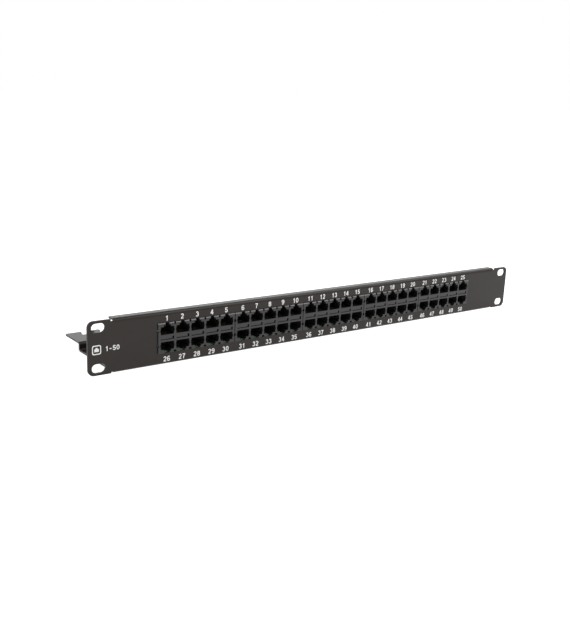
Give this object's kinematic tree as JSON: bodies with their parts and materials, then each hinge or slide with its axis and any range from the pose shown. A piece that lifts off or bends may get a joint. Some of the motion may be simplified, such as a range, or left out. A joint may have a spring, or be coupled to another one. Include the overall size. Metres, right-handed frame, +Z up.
{
  "type": "rack patch bay",
  "caption": "One-unit rack patch bay: a folded black steel chassis with slotted ears, a double row of modular voice sockets, circuit boards, punch-down blocks and a rear cable-tie shelf.",
  "frame": {"origin": "centre of the four rack slots, on the rear face of the ears, which seats on the rack rails", "axes": "+X along the panel's width, to the right as seen from the front; +Y to the rear of the rack; +Z up"},
  "size_m": [0.4826, 0.0953, 0.043],
  "materials": {
    "black_powder_coat": "satin black powder coat on folded steel",
    "socket_plastic": "fine-grained moulded black plastic",
    "carrier_plastic": "moulded black plastic",
    "circuit_board": "green solder mask over glass-fibre laminate",
    "idc_plastic": "off-white moulded plastic",
    "tinned_contact": "tin-plated phosphor bronze",
    "gilt_contact": "gold-plated phosphor bronze",
    "zinc_screw": "bright zinc-plated steel",
    "standoff_brass": "turned brass"
  },
  "bodies": {
    "patch_bay": {"steel_chassis": "black_powder_coat", "socket_housing_1": "socket_plastic", "contact_carrier_1": "carrier_plastic", "contact_leads_1": "gilt_contact", "circuit_board_1": "circuit_board", "idc_contacts_1": "tinned_contact", "idc_block_front_1": "idc_plastic", "idc_block_rear_1": "idc_plastic", "socket_housing_2": "socket_plastic", "contact_carrier_2": "carrier_plastic", "contact_leads_2": "gilt_contact", "circuit_board_2": "circuit_board", "idc_contacts_2": "tinned_contact", "idc_block_front_2": "idc_plastic", "idc_block_rear_2": "idc_plastic", "socket_housing_3": "socket_plastic", "contact_carrier_3": "carrier_plastic", "contact_leads_3": "gilt_contact", "circuit_board_3": "circuit_board", "idc_contacts_3": "tinned_contact", "idc_block_front_3": "idc_plastic", "idc_block_rear_3": "idc_plastic", "socket_housing_4": "socket_plastic", "contact_carrier_4": "carrier_plastic", "contact_leads_4": "gilt_contact", "circuit_board_4": "circuit_board", "idc_contacts_4": "tinned_contact", "idc_block_front_4": "idc_plastic", "idc_block_rear_4": "idc_plastic", "socket_housing_5": "socket_plastic", "contact_carrier_5": "carrier_plastic", "contact_leads_5": "gilt_contact", "circuit_board_5": "circuit_board", "idc_contacts_5": "tinned_contact", "idc_block_front_5": "idc_plastic", "idc_block_rear_5": "idc_plastic", "board_screws": "zinc_screw", "board_standoffs": "standoff_brass"},
    "upper_springs_1": {"upper_contact_springs_1": "gilt_contact"},
    "lower_springs_1": {"lower_contact_springs_1": "gilt_contact"},
    "upper_springs_2": {"upper_contact_springs_2": "gilt_contact"},
    "lower_springs_2": {"lower_contact_springs_2": "gilt_contact"},
    "upper_springs_3": {"upper_contact_springs_3": "gilt_contact"},
    "lower_springs_3": {"lower_contact_springs_3": "gilt_contact"},
    "upper_springs_4": {"upper_contact_springs_4": "gilt_contact"},
    "lower_springs_4": {"lower_contact_springs_4": "gilt_contact"},
    "upper_springs_5": {"upper_contact_springs_5": "gilt_contact"},
    "lower_springs_5": {"lower_contact_springs_5": "gilt_contact"}
  },
  "joints": [
    {"name": "upper_contacts_1_press", "type": "hinge", "parent": "patch_bay", "child": "upper_springs_1", "pos_m": [-0.1461, 0.0025, 0.00397], "axis": [-1, 0, 0], "range_deg": [0, 7], "stiffness_Nm_per_rad": 0.01},
    {"name": "lower_contacts_1_press", "type": "hinge", "parent": "patch_bay", "child": "lower_springs_1", "pos_m": [-0.1461, 0.0025, -0.00347], "axis": [1, 0, 0], "range_deg": [0, 7], "stiffness_Nm_per_rad": 0.01},
    {"name": "upper_contacts_2_press", "type": "hinge", "parent": "patch_bay", "child": "upper_springs_2", "pos_m": [-0.0736, 0.0025, 0.00397], "axis": [-1, 0, 0], "range_deg": [0, 7], "stiffness_Nm_per_rad": 0.01},
    {"name": "lower_contacts_2_press", "type": "hinge", "parent": "patch_bay", "child": "lower_springs_2", "pos_m": [-0.0736, 0.0025, -0.00347], "axis": [1, 0, 0], "range_deg": [0, 7], "stiffness_Nm_per_rad": 0.01},
    {"name": "upper_contacts_3_press", "type": "hinge", "parent": "patch_bay", "child": "upper_springs_3", "pos_m": [-0.0011, 0.0025, 0.00397], "axis": [-1, 0, 0], "range_deg": [0, 7], "stiffness_Nm_per_rad": 0.01},
    {"name": "lower_contacts_3_press", "type": "hinge", "parent": "patch_bay", "child": "lower_springs_3", "pos_m": [-0.0011, 0.0025, -0.00347], "axis": [1, 0, 0], "range_deg": [0, 7], "stiffness_Nm_per_rad": 0.01},
    {"name": "upper_contacts_4_press", "type": "hinge", "parent": "patch_bay", "child": "upper_springs_4", "pos_m": [0.0714, 0.0025, 0.00397], "axis": [-1, 0, 0], "range_deg": [0, 7], "stiffness_Nm_per_rad": 0.01},
    {"name": "lower_contacts_4_press", "type": "hinge", "parent": "patch_bay", "child": "lower_springs_4", "pos_m": [0.0714, 0.0025, -0.00347], "axis": [1, 0, 0], "range_deg": [0, 7], "stiffness_Nm_per_rad": 0.01},
    {"name": "upper_contacts_5_press", "type": "hinge", "parent": "patch_bay", "child": "upper_springs_5", "pos_m": [0.1439, 0.0025, 0.00397], "axis": [-1, 0, 0], "range_deg": [0, 7], "stiffness_Nm_per_rad": 0.01},
    {"name": "lower_contacts_5_press", "type": "hinge", "parent": "patch_bay", "child": "lower_springs_5", "pos_m": [0.1439, 0.0025, -0.00347], "axis": [1, 0, 0], "range_deg": [0, 7], "stiffness_Nm_per_rad": 0.01}
  ]
}
